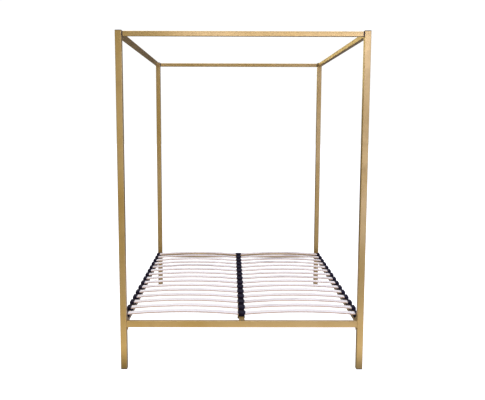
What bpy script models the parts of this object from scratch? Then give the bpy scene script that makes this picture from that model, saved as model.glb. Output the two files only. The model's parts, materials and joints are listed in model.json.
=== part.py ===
"""Four poster canopy bed for a 150 x 200 cm mattress, in metres, +Z up.

The origin is on the floor under the middle of the bed. +X is the right side
seen from the front end, and +Y runs from the front end to the rear end.
"""

import math

import bmesh
import bpy

# Overall size
WIDTH = 1.55
LENGTH = 2.08
HEIGHT = 2.13
GAP = 0.0003

# Square steel tubes: outer side, wall and corner radius
POST = 0.040
CANOPY_TUBE = 0.030
CANOPY_DROP = 0.0065
RAIL_WIDTH = 0.030
RAIL_HEIGHT = 0.040
RAIL_TOP = 0.316
CENTRE_RAIL_WIDTH = 0.035
CENTRE_RAIL_HEIGHT = 0.030
CENTRE_RAIL_TOP = RAIL_TOP + 0.001
WALL = 0.0015
POST_RADIUS = 0.0035
RAIL_RADIUS = 0.0025

# Plates welded into and onto the tube ends
END_PLATE = 0.003
END_PLATE_RECESS = 0.001
WELD_OVERLAP = 0.0005
SIDE_PLATE_DROP = 0.026
SIDE_PLATE_INSET = 0.005
SIDE_PLATE_WIDTH = 0.043
HOOK_TAB = 0.0025
HOOK_TAB_REACH = 0.022
HOOK_TAB_OVERLAP = 0.040

# Fastener holes
RAIL_BOLT_HOLE = 0.0085
CANOPY_BOLT_HOLE = 0.0065
SCREW_HOLE = 0.0050
SIDE_BOLT_SPACING = 0.022
SIDE_BOLT_DROP = 0.013

# Plastic caps, glides and plugs
CAP_FLANGE = 0.004
CAP_INSERT = 0.010
FOOT_FLANGE = 0.005
FOOT_INSERT = 0.025
PLUG_FLANGE = 0.006
PLUG_INSERT = 0.022
PLUG_PEG = 0.012
PLUG_PEG_LENGTH = 0.009
INSERT_CHAMFER = 0.0022
PLASTIC_ROUNDING = 0.001

# Support leg under the middle of the centre rail
LEG_DIAMETER = 0.032
LEG_PLATE_LENGTH = 0.080
LEG_PLATE_WIDTH = 0.034
LEG_SCREW_SPACING = 0.062
LEG_FOOT_HEIGHT = 0.008
LEG_FOOT_INSERT = 0.022
LEG_FOOT_LIP = 0.001
LEG_FOOT_CHAMFER = 0.002

# Slats: 15 in each of two columns, bent up to a crown in the middle
SLATS_PER_COLUMN = 15
SLAT_PITCH = 0.1295
SLAT_WIDTH = 0.053
SLAT_THICKNESS = 0.008
SLAT_CROWN = 0.018
SLAT_SEGMENTS = 10
SLAT_INNER_END = 0.0035
SLAT_OUTER_END = 0.756

# Slat holders: they clip over the rails and take the slat ends in a slot
SLOT_BOTTOM = 0.3245
SLOT_HEIGHT = 0.0107
SLOT_WIDTH = SLAT_WIDTH + 0.001
SLOT_END_PLAY = 0.001
HOLDER_LENGTH = 0.060
HOLDER_LID = 0.0034
HOLDER_SKIN = 0.0024
HOLDER_SKIRT_DROP = 0.011
HOLDER_ROUNDING = 0.003
SIDE_LID_COVER = 0.026
SIDE_LIP_REACH = 0.008
CENTRE_LID_WIDTH = 0.049
HOLDER_LINK = 0.0012
HOLDER_LINK_WIDTH = 0.012

ROUND_SEGMENTS = 12

ENDS = {"front": -1, "rear": 1}
SIDES = {"left": -1, "right": 1}

# Derived places
POST_X = (WIDTH - POST) / 2
POST_Y = (LENGTH - POST) / 2
END_RAIL_SPAN = WIDTH / 2 - POST - GAP
SIDE_RAIL_SPAN = LENGTH / 2 - POST - GAP
CENTRE_RAIL_SPAN = POST_Y - RAIL_WIDTH / 2 - GAP
CANOPY_TOP = HEIGHT - CANOPY_DROP
CANOPY_MIDDLE = CANOPY_TOP - CANOPY_TUBE / 2
RAIL_MIDDLE = RAIL_TOP - RAIL_HEIGHT / 2
SIDE_BOLT_HEIGHT = RAIL_TOP - RAIL_HEIGHT - SIDE_BOLT_DROP
LEG_TOP = CENTRE_RAIL_TOP - CENTRE_RAIL_HEIGHT - GAP
FIRST_SLAT_Y = -SLAT_PITCH * (SLATS_PER_COLUMN - 1) / 2


def clear_scene():
    for obj in list(bpy.data.objects):
        bpy.data.objects.remove(obj, do_unlink=True)


def new_collection(name):
    collection = bpy.data.collections.new(name)
    bpy.context.scene.collection.children.link(collection)
    return collection


def new_material(name, colour, roughness, metallic):
    material = bpy.data.materials.new(name)
    material.use_nodes = True
    shader = material.node_tree.nodes["Principled BSDF"]
    shader.inputs["Base Color"].default_value = (*colour, 1.0)
    shader.inputs["Roughness"].default_value = roughness
    shader.inputs["Metallic"].default_value = metallic
    return material


clear_scene()
BED = new_collection("four_poster_canopy_bed")
CUTTERS = new_collection("cutters")
GOLD_COAT = new_material("gold_powder_coat", (0.42, 0.27, 0.09), 0.38, 0.85)
BLACK_PLASTIC = new_material("black_plastic", (0.02, 0.02, 0.025), 0.35, 0.0)
BIRCH = new_material("birch_plywood", (0.82, 0.74, 0.62), 0.5, 0.0)

ROOT = bpy.data.objects.new("bed_root", None)
BED.objects.link(ROOT)


def mesh_object(name, bm, location, material=None):
    """The bmesh as an object: a sub-part when it has a material, otherwise a helper shape."""
    mesh = bpy.data.meshes.new(name)
    bm.to_mesh(mesh)
    bm.free()
    obj = bpy.data.objects.new(name, mesh)
    obj.location = location
    if material is None:
        CUTTERS.objects.link(obj)
        obj.hide_render = True
        obj.display_type = "WIRE"
    else:
        BED.objects.link(obj)
        obj.parent = ROOT
        mesh.materials.append(material)
    return obj


def box(name, centre, size, material=None):
    """A closed box of this size about its centre."""
    bm = bmesh.new()
    bmesh.ops.create_cube(bm, size=1.0)
    bmesh.ops.scale(bm, vec=size, verts=bm.verts)
    return mesh_object(name, bm, centre, material)


def rod(name, centre, diameter, length, axis):
    """A helper cylinder along X, Y or Z."""
    bm = bmesh.new()
    bmesh.ops.create_cone(
        bm,
        cap_ends=True,
        segments=ROUND_SEGMENTS,
        radius1=diameter / 2,
        radius2=diameter / 2,
        depth=length,
    )
    obj = mesh_object(name, bm, centre)
    if axis == "X":
        obj.rotation_euler = (0, math.pi / 2, 0)
    if axis == "Y":
        obj.rotation_euler = (math.pi / 2, 0, 0)
    return obj


def bevel(obj, width, segments):
    modifier = obj.modifiers.new("round_edges", "BEVEL")
    modifier.width = width
    modifier.segments = segments
    modifier.limit_method = "ANGLE"
    modifier.angle_limit = math.radians(40)


def square_tube(name, centre, size, axis, radius):
    """An open-ended tube with rounded corners along X, Y or Z."""
    along = "XYZ".index(axis)
    bm = bmesh.new()
    bmesh.ops.create_cube(bm, size=1.0)
    bmesh.ops.scale(bm, vec=size, verts=bm.verts)
    ends = [face for face in bm.faces if abs(face.normal[along]) > 0.9]
    bmesh.ops.delete(bm, geom=ends, context="FACES")
    tube = mesh_object(name, bm, centre, GOLD_COAT)
    bevel(tube, radius, 2)
    wall = tube.modifiers.new("wall", "SOLIDIFY")
    wall.thickness = WALL
    wall.use_even_offset = True
    return tube


def boolean(obj, other, operation):
    modifier = obj.modifiers.new(other.name, "BOOLEAN")
    modifier.operation = operation
    modifier.solver = "EXACT"
    modifier.object = other


def cut(obj, other):
    boolean(obj, other, "DIFFERENCE")


def join(obj, other):
    boolean(obj, other, "UNION")


def post(end, side):
    """A corner post, open at both ends, with the holes that its rails bolt and peg into."""
    name = f"post_{end}_{side}"
    sx = SIDES[side]
    sy = ENDS[end]
    x = sx * POST_X
    y = sy * POST_Y
    low = FOOT_FLANGE + GAP
    high = HEIGHT - CAP_FLANGE - GAP
    tube = square_tube(name, (x, y, (low + high) / 2), (POST, POST, high - low), "Z", POST_RADIUS)
    inner_x = sx * (POST_X - POST / 2)
    inner_y = sy * (POST_Y - POST / 2)
    through = 2 * POST
    short = 4 * WALL
    side_plate_x = sx * (POST_X - SIDE_PLATE_INSET / 2)
    cut(tube, rod(f"{name}_end_rail_hole", (x, y, RAIL_MIDDLE), RAIL_BOLT_HOLE, through, "X"))
    peg_hole = PLUG_PEG + 2 * GAP
    cut(tube, rod(f"{name}_peg_hole", (inner_x, y, CANOPY_MIDDLE), peg_hole, short, "X"))
    cut(tube, rod(f"{name}_canopy_hole", (x, inner_y, CANOPY_MIDDLE), CANOPY_BOLT_HOLE, short, "Y"))
    for step in (-1, 1):
        place = (side_plate_x + step * SIDE_BOLT_SPACING / 2, inner_y, SIDE_BOLT_HEIGHT)
        cut(tube, rod(f"{name}_side_rail_hole", place, RAIL_BOLT_HOLE, short, "Y"))


def post_cap(end, side):
    """A flat cap with a square insert that pushes into the post."""
    name = f"post_cap_{end}_{side}"
    x = SIDES[side] * POST_X
    y = ENDS[end] * POST_Y
    cap = box(name, (x, y, HEIGHT - CAP_FLANGE / 2), (POST, POST, CAP_FLANGE), BLACK_PLASTIC)
    bevel(cap, PLASTIC_ROUNDING, 1)
    insert_side = POST - 2 * WALL - 2 * GAP
    low = HEIGHT - CAP_FLANGE - CAP_INSERT
    high = HEIGHT - CAP_FLANGE / 2
    place = (x, y, (low + high) / 2)
    insert = box(f"{name}_insert", place, (insert_side, insert_side, high - low))
    bevel(insert, INSERT_CHAMFER, 1)
    join(cap, insert)


def post_foot(end, side):
    """A glide whose insert pushes up into the post."""
    name = f"post_foot_{end}_{side}"
    x = SIDES[side] * POST_X
    y = ENDS[end] * POST_Y
    foot = box(name, (x, y, FOOT_FLANGE / 2), (POST, POST, FOOT_FLANGE), BLACK_PLASTIC)
    bevel(foot, PLASTIC_ROUNDING, 1)
    insert_side = POST - 2 * WALL - 2 * GAP
    low = FOOT_FLANGE / 2
    high = FOOT_FLANGE + FOOT_INSERT
    place = (x, y, (low + high) / 2)
    insert = box(f"{name}_insert", place, (insert_side, insert_side, high - low))
    bevel(insert, INSERT_CHAMFER, 1)
    join(foot, insert)


def weld_end_plates(rail, section, span, centre, axis, hole):
    """Closes both ends of a rail with a recessed plate that has a hole for its bolt."""
    along = "XYZ".index(axis)
    for sign in (-1, 1):
        place = list(centre)
        place[along] = sign * (span - END_PLATE_RECESS - END_PLATE / 2)
        size = [side - 2 * WALL + 2 * WELD_OVERLAP for side in section]
        size[along] = END_PLATE
        plate = box(f"{rail.name}_plate", place, size)
        bevel(plate, RAIL_RADIUS - WALL, 1)
        cut(plate, rod(f"{rail.name}_plate_hole", place, hole, 4 * END_PLATE, axis))
        join(rail, plate)


def end_rail(end):
    """The low rail across the bed, with holes on top for the centre rail's tab."""
    centre = (0, ENDS[end] * POST_Y, RAIL_MIDDLE)
    size = (2 * END_RAIL_SPAN, RAIL_WIDTH, RAIL_HEIGHT)
    rail = square_tube(f"end_rail_{end}", centre, size, "X", RAIL_RADIUS)
    weld_end_plates(rail, size, END_RAIL_SPAN, centre, "X", CANOPY_BOLT_HOLE)
    place = (0, ENDS[end] * POST_Y, RAIL_TOP)
    cut(rail, rod(f"end_rail_{end}_tab_hole", place, SCREW_HOLE, 4 * WALL, "Z"))


def side_rail(side):
    """The low rail along the bed, with a bolting plate welded on each end."""
    sx = SIDES[side]
    name = f"side_rail_{side}"
    centre = (sx * POST_X, 0, RAIL_MIDDLE)
    span = SIDE_RAIL_SPAN - END_PLATE / 2
    rail = square_tube(name, centre, (RAIL_WIDTH, 2 * span, RAIL_HEIGHT), "Y", RAIL_RADIUS)
    plate_x = sx * (POST_X - SIDE_PLATE_INSET / 2)
    low = RAIL_TOP - RAIL_HEIGHT - SIDE_PLATE_DROP
    high = RAIL_TOP - WELD_OVERLAP
    for sy in (-1, 1):
        plate_y = sy * (SIDE_RAIL_SPAN - END_PLATE / 2)
        size = (SIDE_PLATE_WIDTH, END_PLATE, high - low)
        plate = box(f"{name}_plate", (plate_x, plate_y, (low + high) / 2), size)
        for step in (-1, 1):
            place = (plate_x + step * SIDE_BOLT_SPACING / 2, plate_y, SIDE_BOLT_HEIGHT)
            cut(plate, rod(f"{name}_bolt_hole", place, RAIL_BOLT_HOLE, 4 * END_PLATE, "Y"))
        place = (sx * POST_X, plate_y, RAIL_MIDDLE)
        cut(plate, rod(f"{name}_drain_hole", place, CANOPY_BOLT_HOLE, 4 * END_PLATE, "Y"))
        join(rail, plate)


def canopy_cross_rail(end):
    """The top rail across the bed. A plastic plug fills each of its open ends."""
    span = END_RAIL_SPAN - PLUG_FLANGE - GAP
    centre = (0, ENDS[end] * POST_Y, CANOPY_MIDDLE)
    size = (2 * span, CANOPY_TUBE, CANOPY_TUBE)
    square_tube(f"canopy_rail_{end}", centre, size, "X", RAIL_RADIUS)


def canopy_side_rail(side):
    """The top rail along the bed, bolted at its welded end plates."""
    centre = (SIDES[side] * POST_X, 0, CANOPY_MIDDLE)
    size = (CANOPY_TUBE, 2 * SIDE_RAIL_SPAN, CANOPY_TUBE)
    rail = square_tube(f"canopy_rail_{side}", centre, size, "Y", RAIL_RADIUS)
    weld_end_plates(rail, size, SIDE_RAIL_SPAN, centre, "Y", SCREW_HOLE)


def canopy_plug(end, side):
    """A plug in the cross rail's end, with a flange and a peg that enters the post."""
    name = f"canopy_plug_{end}_{side}"
    sx = SIDES[side]
    y = ENDS[end] * POST_Y
    flange_x = sx * (END_RAIL_SPAN - PLUG_FLANGE / 2)
    size = (PLUG_FLANGE, CANOPY_TUBE, CANOPY_TUBE)
    plug = box(name, (flange_x, y, CANOPY_MIDDLE), size, BLACK_PLASTIC)
    bevel(plug, PLASTIC_ROUNDING, 1)
    insert_side = CANOPY_TUBE - 2 * WALL - 2 * GAP
    insert_x = sx * (END_RAIL_SPAN - PLUG_FLANGE / 2 - PLUG_INSERT / 2)
    size = (PLUG_INSERT, insert_side, insert_side)
    insert = box(f"{name}_insert", (insert_x, y, CANOPY_MIDDLE), size)
    bevel(insert, INSERT_CHAMFER, 1)
    join(plug, insert)
    peg_length = PLUG_FLANGE / 2 + PLUG_PEG_LENGTH
    peg_x = sx * (END_RAIL_SPAN - PLUG_FLANGE / 2 + peg_length / 2)
    join(plug, rod(f"{name}_peg", (peg_x, y, CANOPY_MIDDLE), PLUG_PEG, peg_length, "X"))


def centre_rail():
    """The middle rail, with a tab at each end that hooks over the end rail."""
    z = CENTRE_RAIL_TOP - CENTRE_RAIL_HEIGHT / 2
    size = (CENTRE_RAIL_WIDTH, 2 * CENTRE_RAIL_SPAN, CENTRE_RAIL_HEIGHT)
    rail = square_tube("centre_rail", (0, 0, z), size, "Y", RAIL_RADIUS)
    tab_low = RAIL_TOP + GAP
    for sy in (-1, 1):
        outer = CENTRE_RAIL_SPAN + HOOK_TAB_REACH
        inner = CENTRE_RAIL_SPAN - HOOK_TAB_OVERLAP
        half = CENTRE_RAIL_WIDTH / 2 - RAIL_RADIUS
        place = (0, sy * (outer + inner) / 2, tab_low + HOOK_TAB / 2)
        tab = box("centre_rail_tab", place, (2 * half, outer - inner, HOOK_TAB))
        hole = (0, sy * POST_Y, tab_low)
        cut(tab, rod("centre_rail_tab_hole", hole, SCREW_HOLE, 4 * HOOK_TAB, "Z"))
        join(rail, tab)
        place = (0, sy * LEG_SCREW_SPACING / 2, LEG_TOP)
        cut(rail, rod("centre_rail_leg_hole", place, SCREW_HOLE, 4 * WALL, "Z"))


def centre_leg():
    """A round leg under the centre rail, with a screwed plate on top."""
    bm = bmesh.new()
    low = LEG_FOOT_HEIGHT + GAP
    high = LEG_TOP - END_PLATE / 2
    bmesh.ops.create_cone(
        bm,
        cap_ends=False,
        segments=2 * ROUND_SEGMENTS,
        radius1=LEG_DIAMETER / 2,
        radius2=LEG_DIAMETER / 2,
        depth=high - low,
    )
    leg = mesh_object("centre_leg", bm, (0, 0, (low + high) / 2), GOLD_COAT)
    wall = leg.modifiers.new("wall", "SOLIDIFY")
    wall.thickness = WALL
    wall.use_even_offset = True
    place = (0, 0, LEG_TOP - END_PLATE / 2)
    plate = box("centre_leg_plate", place, (LEG_PLATE_WIDTH, LEG_PLATE_LENGTH, END_PLATE))
    for sy in (-1, 1):
        hole = (0, sy * LEG_SCREW_SPACING / 2, LEG_TOP)
        cut(plate, rod("centre_leg_plate_hole", hole, SCREW_HOLE, 4 * END_PLATE, "Z"))
    join(leg, plate)


def centre_leg_foot():
    """A turned glide: a foot disc, and an insert that pushes up into the leg."""
    foot_radius = LEG_DIAMETER / 2 + LEG_FOOT_LIP
    insert_radius = LEG_DIAMETER / 2 - WALL - GAP
    top = LEG_FOOT_HEIGHT + LEG_FOOT_INSERT
    profile = (
        (0, top),
        (insert_radius - PLASTIC_ROUNDING, top),
        (insert_radius, top - PLASTIC_ROUNDING),
        (insert_radius, LEG_FOOT_HEIGHT),
        (foot_radius, LEG_FOOT_HEIGHT),
        (foot_radius, LEG_FOOT_CHAMFER),
        (foot_radius - LEG_FOOT_CHAMFER, 0),
        (0, 0),
    )
    bm = bmesh.new()
    points = [bm.verts.new((radius, 0, z)) for radius, z in profile]
    for first, second in zip(points, points[1:]):
        bm.edges.new((first, second))
    foot = mesh_object("centre_leg_foot", bm, (0, 0, 0), BLACK_PLASTIC)
    turn = foot.modifiers.new("turn", "SCREW")
    turn.steps = 2 * ROUND_SEGMENTS
    turn.render_steps = turn.steps
    turn.use_merge_vertices = True
    turn.merge_threshold = 0.00001


def slat(side, number):
    """A birch slat bent to a circular arc, with its ends in the holders' slots."""
    name = f"slat_{side}_{number:02d}"
    length = SLAT_OUTER_END - SLAT_INNER_END
    radius = length**2 / (8 * SLAT_CROWN) + SLAT_CROWN / 2
    bm = bmesh.new()
    bmesh.ops.create_cube(bm, size=1.0)
    bmesh.ops.scale(bm, vec=(length, SLAT_WIDTH, SLAT_THICKNESS), verts=bm.verts)
    long_edges = [e for e in bm.edges if abs(e.verts[0].co.x - e.verts[1].co.x) > length / 2]
    bmesh.ops.subdivide_edges(bm, edges=long_edges, cuts=SLAT_SEGMENTS - 1, use_grid_fill=True)
    for vertex in bm.verts:
        angle = vertex.co.x / length * 2 * math.asin(length / (2 * radius))
        from_arc = vertex.co.z
        vertex.co.x = (radius + from_arc) * math.sin(angle)
        vertex.co.z = (radius + from_arc) * math.cos(angle) - radius + SLAT_CROWN
    x = SIDES[side] * (SLAT_OUTER_END + SLAT_INNER_END) / 2
    y = FIRST_SLAT_Y + (number - 1) * SLAT_PITCH
    end_dip = SLAT_THICKNESS / 2
    mesh_object(name, bm, (x, y, SLOT_BOTTOM + GAP + end_dip), BIRCH)


def extruded_outline(name, outline, y, length, material):
    """A closed solid: an XZ outline drawn as one face and pulled out along Y."""
    bm = bmesh.new()
    corners = [bm.verts.new((x, -length / 2, z)) for x, z in outline]
    face = bm.faces.new(corners)
    pulled = bmesh.ops.extrude_face_region(bm, geom=[face])
    moved = [item for item in pulled["geom"] if isinstance(item, bmesh.types.BMVert)]
    bmesh.ops.translate(bm, vec=(0, length, 0), verts=moved)
    bmesh.ops.recalc_face_normals(bm, faces=bm.faces)
    return mesh_object(name, bm, (0, y, 0), material)


def repeat_along_rail(holder, link):
    """Copies the holder to every slat and joins the copies with a thin link on the rail."""
    copies = holder.modifiers.new("one_for_each_slat", "ARRAY")
    copies.count = SLATS_PER_COLUMN
    copies.use_relative_offset = False
    copies.use_constant_offset = True
    copies.constant_offset_displace = (0, SLAT_PITCH, 0)
    join(holder, link)


def side_holders(side):
    """Cups on a side rail: a lid over the slat end, a lip under it, and a skirt each side."""
    sx = SIDES[side]
    name = f"slat_holders_{side}"
    base = RAIL_TOP + GAP
    slot_top = SLOT_BOTTOM + SLOT_HEIGHT
    top = slot_top + HOLDER_LID
    skirt_low = RAIL_TOP - HOLDER_SKIRT_DROP
    inner = POST_X - RAIL_WIDTH / 2 - GAP
    outer = POST_X + RAIL_WIDTH / 2 + GAP
    lid_edge = outer - SIDE_LID_COVER
    lip_edge = inner - HOLDER_SKIN - SIDE_LIP_REACH
    chamfer = HOLDER_ROUNDING
    outline = (
        (inner - HOLDER_SKIN, skirt_low),
        (inner - HOLDER_SKIN, base),
        (lip_edge, SLOT_BOTTOM - HOLDER_SKIN),
        (lip_edge, SLOT_BOTTOM),
        (lid_edge, SLOT_BOTTOM),
        (lid_edge, top - chamfer / 2),
        (lid_edge + chamfer / 2, top),
        (outer + HOLDER_SKIN - chamfer, top),
        (outer + HOLDER_SKIN, top - chamfer),
        (outer + HOLDER_SKIN, skirt_low),
        (outer, skirt_low),
        (outer, base),
        (inner, base),
        (inner, skirt_low),
    )
    outline = [(sx * x, z) for x, z in outline]
    holder = extruded_outline(name, outline, FIRST_SLAT_Y, HOLDER_LENGTH, BLACK_PLASTIC)
    slot_end = SLAT_OUTER_END + SLOT_END_PLAY
    slot_x = sx * (slot_end + lip_edge) / 2
    centre = (slot_x, FIRST_SLAT_Y, (SLOT_BOTTOM + slot_top) / 2)
    cut(holder, box(f"{name}_slot", centre, (slot_end - lip_edge, SLOT_WIDTH, SLOT_HEIGHT)))
    centre = (sx * POST_X, 0, base + HOLDER_LINK / 2)
    size = (HOLDER_LINK_WIDTH, -2 * FIRST_SLAT_Y, HOLDER_LINK)
    repeat_along_rail(holder, box(f"{name}_link", centre, size))


def centre_holders():
    """Double holders on the centre rail, each taking the inner ends of two slats."""
    name = "slat_holders_centre"
    base = CENTRE_RAIL_TOP + GAP
    slot_top = SLOT_BOTTOM + SLOT_HEIGHT
    top = slot_top + HOLDER_LID
    skirt_low = CENTRE_RAIL_TOP - HOLDER_SKIRT_DROP
    inner = CENTRE_RAIL_WIDTH / 2 + GAP
    outer = inner + HOLDER_SKIN
    lid_edge = CENTRE_LID_WIDTH / 2
    chamfer = HOLDER_ROUNDING / 2
    half = [
        (inner, base),
        (inner, skirt_low),
        (outer, skirt_low),
        (outer, slot_top),
        (lid_edge, slot_top),
        (lid_edge, top - chamfer),
        (lid_edge - chamfer, top),
    ]
    outline = half + [(-x, z) for x, z in reversed(half)]
    holder = extruded_outline(name, outline, FIRST_SLAT_Y, HOLDER_LENGTH, BLACK_PLASTIC)
    slot_start = SLAT_INNER_END - SLOT_END_PLAY
    slot_end = outer + HOLDER_SKIN
    for sx in SIDES.values():
        centre = (sx * (slot_start + slot_end) / 2, FIRST_SLAT_Y, (SLOT_BOTTOM + slot_top) / 2)
        size = (slot_end - slot_start, SLOT_WIDTH, SLOT_HEIGHT)
        cut(holder, box(f"{name}_slot", centre, size))
    centre = (0, 0, base + HOLDER_LINK / 2)
    size = (HOLDER_LINK_WIDTH, -2 * FIRST_SLAT_Y, HOLDER_LINK)
    repeat_along_rail(holder, box(f"{name}_link", centre, size))


def build_bed():
    for end in ENDS:
        for side in SIDES:
            post(end, side)
            post_cap(end, side)
            post_foot(end, side)
            canopy_plug(end, side)
        end_rail(end)
        canopy_cross_rail(end)
    for side in SIDES:
        side_rail(side)
        canopy_side_rail(side)
        side_holders(side)
        for number in range(1, SLATS_PER_COLUMN + 1):
            slat(side, number)
    centre_rail()
    centre_leg()
    centre_leg_foot()
    centre_holders()


build_bed()
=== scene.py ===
import json
import math

import bmesh
import bpy
from mathutils import Matrix, Vector


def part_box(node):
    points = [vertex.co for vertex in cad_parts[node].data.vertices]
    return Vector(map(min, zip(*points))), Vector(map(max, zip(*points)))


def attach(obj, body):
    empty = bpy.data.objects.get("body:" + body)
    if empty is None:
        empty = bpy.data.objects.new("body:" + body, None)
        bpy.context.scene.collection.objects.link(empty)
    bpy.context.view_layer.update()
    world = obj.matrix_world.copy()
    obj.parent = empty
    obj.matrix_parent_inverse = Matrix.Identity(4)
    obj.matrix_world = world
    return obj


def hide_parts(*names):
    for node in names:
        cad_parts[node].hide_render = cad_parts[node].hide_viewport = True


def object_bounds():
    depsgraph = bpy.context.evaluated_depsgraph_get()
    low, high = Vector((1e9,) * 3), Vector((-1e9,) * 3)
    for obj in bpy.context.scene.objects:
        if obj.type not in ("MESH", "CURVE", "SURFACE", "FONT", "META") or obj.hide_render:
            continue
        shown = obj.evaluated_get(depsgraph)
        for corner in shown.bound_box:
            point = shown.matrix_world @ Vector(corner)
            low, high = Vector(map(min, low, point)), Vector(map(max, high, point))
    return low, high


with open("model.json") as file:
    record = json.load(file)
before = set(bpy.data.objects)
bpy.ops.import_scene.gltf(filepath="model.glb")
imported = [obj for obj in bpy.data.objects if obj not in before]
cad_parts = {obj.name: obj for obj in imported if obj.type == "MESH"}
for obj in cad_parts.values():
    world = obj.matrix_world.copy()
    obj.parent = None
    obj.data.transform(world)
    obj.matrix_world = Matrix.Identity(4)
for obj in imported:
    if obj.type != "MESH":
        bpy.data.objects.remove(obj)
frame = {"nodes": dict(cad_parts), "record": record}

# Looks of the four poster canopy bed, in metres, +Z up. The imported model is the
# frame: tubes and slats keep its shape and get their finish here, and the moulded
# plastic, the bolts, the screws and the weld beads are built here.

CAD_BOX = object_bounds()

ENDS = {"front": -1, "rear": 1}
SIDES = {"left": -1, "right": 1}

# Places, read from the frame
POST_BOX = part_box("post_front_right")
POST_X = (POST_BOX[0].x + POST_BOX[1].x) / 2
POST_Y = -(POST_BOX[0].y + POST_BOX[1].y) / 2
POST_HALF = (POST_BOX[1].x - POST_BOX[0].x) / 2
HEIGHT = CAD_BOX[1].z
CANOPY_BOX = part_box("canopy_rail_front")
CANOPY_HALF = (CANOPY_BOX[1].z - CANOPY_BOX[0].z) / 2
CANOPY_MIDDLE = (CANOPY_BOX[1].z + CANOPY_BOX[0].z) / 2
END_RAIL_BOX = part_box("end_rail_front")
RAIL_TOP = END_RAIL_BOX[1].z
RAIL_LOW = END_RAIL_BOX[0].z
RAIL_MIDDLE = (RAIL_TOP + RAIL_LOW) / 2
RAIL_HALF = (END_RAIL_BOX[1].y - END_RAIL_BOX[0].y) / 2
RAIL_END = END_RAIL_BOX[1].x
SIDE_RAIL_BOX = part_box("side_rail_right")
SIDE_RAIL_END = SIDE_RAIL_BOX[1].y
SIDE_PLATE_MIDDLE = (SIDE_RAIL_BOX[0].x + SIDE_RAIL_BOX[1].x) / 2
SIDE_HOLDER_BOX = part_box("slat_holders_right")
CENTRE_HOLDER_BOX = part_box("slat_holders_centre")
HOLDER_TOP = SIDE_HOLDER_BOX[1].z
CENTRE_RAIL_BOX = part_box("centre_rail")
LEG_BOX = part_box("centre_leg")
FIRST_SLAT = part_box("slat_right_01")
SECOND_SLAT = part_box("slat_right_02")
SLAT_PITCH = SECOND_SLAT[0].y - FIRST_SLAT[0].y
FIRST_SLAT_Y = (FIRST_SLAT[0].y + FIRST_SLAT[1].y) / 2
SLATS_PER_COLUMN = 15

# Sizes that the frame's boxes don't tell
GAP = 0.0003                    # play between a plastic piece and its tube
PLATE = 0.003
TUBE_WALL = 0.0015
TUBE_RADIUS = 0.0025            # outer corners of the rails
POST_RADIUS = 0.0035            # outer corners of the posts
SLAT_THICKNESS = 0.008
SLAT_CROWN = 0.018              # rise of a slat's middle over its ends
SLAT_INNER_END = 0.0035         # distance from the bed's middle
SLAT_OUTER_END = 0.756
PLY_LAYERS = 7
SLOT_BOTTOM = 0.3245
SLOT_HEIGHT = 0.0107
SLOT_WIDTH = 0.054
SIDE_BOLT_SPACING = 0.022
SIDE_BOLT_HEIGHT = 0.263
LEG_SCREW_SPACING = 0.062
LEG_WELD_RADIUS = 0.0165
HOOK_TAB_REACH = 0.022          # past the centre rail's end
HOOK_TAB_OVERLAP = 0.040        # on the centre rail

# Slat holders
HOLDER_LENGTH = 0.060
HOLDER_SKIN = 0.0024
HOLDER_ROUNDING = 0.0007
HOLDER_EDGE_ANGLE = math.radians(40)
LID_CHAMFER = 0.0015
LID_PANEL_HALF = 0.024          # the lid's sunk panel, half its length
LID_PANEL_DEPTH = 0.0006
RIB_HALF = 0.0008
RIB_DEPTH = 0.0012
WINDOW_HALF = 0.005             # a snap window in a skirt, half its width
WINDOW_LOW = 0.002              # over the skirt's lower edge
WINDOW_HIGH = 0.0055
WINDOWS_Y = (-0.016, 0.016)
RIBS_Y = (-0.018, -0.006, 0.006, 0.018)
GUSSETS_Y = (-0.020, 0.0, 0.020)
GUSSET_THICKNESS = 0.002

# Mesh fineness
AROUND = 24                     # points round a screw head
LEG_AROUND = 36                 # points round the leg's glide
CORNER_STEPS = 5                # steps round a tube's corner
BEAD_SIDES = 8
BEAD_STEP = 0.0011              # between two points of a weld bead
PLASTIC_SMOOTH = 50             # degrees between faces that still look smooth
BEAD_SMOOTH = 60


# ---------------------------------------------------------------- node helpers
def new_tree(name):
    """A material with its node tree and its shader."""
    material = bpy.data.materials.new(name)
    material.use_nodes = True
    tree = material.node_tree
    return material, tree, tree.nodes["Principled BSDF"]


def feed(tree, socket, value):
    """Links a socket to another socket, or sets it to a plain value."""
    if isinstance(value, bpy.types.NodeSocket):
        tree.links.new(value, socket)
    else:
        socket.default_value = value


def add(tree, kind, **inputs):
    """A new node, with its inputs given by name and _ for a space."""
    node = tree.nodes.new(kind)
    for key, value in inputs.items():
        feed(tree, node.inputs[key.replace("_", " ")], value)
    return node


def maths(tree, operation, first, second=0.0):
    node = tree.nodes.new("ShaderNodeMath")
    node.operation = operation
    feed(tree, node.inputs[0], first)
    feed(tree, node.inputs[1], second)
    return node.outputs[0]


def times(tree, first, *others):
    """The product of two or more numbers."""
    for other in others:
        first = maths(tree, "MULTIPLY", first, other)
    return first


def plus(tree, first, second):
    return maths(tree, "ADD", first, second)


def minus(tree, first, second):
    return maths(tree, "SUBTRACT", first, second)


def hypotenuse(tree, first, second):
    squares = [maths(tree, "POWER", side, 2.0) for side in (first, second)]
    return maths(tree, "SQRT", plus(tree, *squares))


def vector_maths(tree, operation, first, second=(0.0, 0.0, 0.0)):
    node = tree.nodes.new("ShaderNodeVectorMath")
    node.operation = operation
    feed(tree, node.inputs[0], first)
    feed(tree, node.inputs[1], second)
    return node.outputs[0]


def remap(tree, value, low, high, out_low=0.0, out_high=1.0):
    """The value's way from low to high, held inside them, as a way from out_low to out_high."""
    node = add(
        tree, "ShaderNodeMapRange", Value=value,
        From_Min=low, From_Max=high, To_Min=out_low, To_Max=out_high,
    )
    return node.outputs["Result"]


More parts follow.
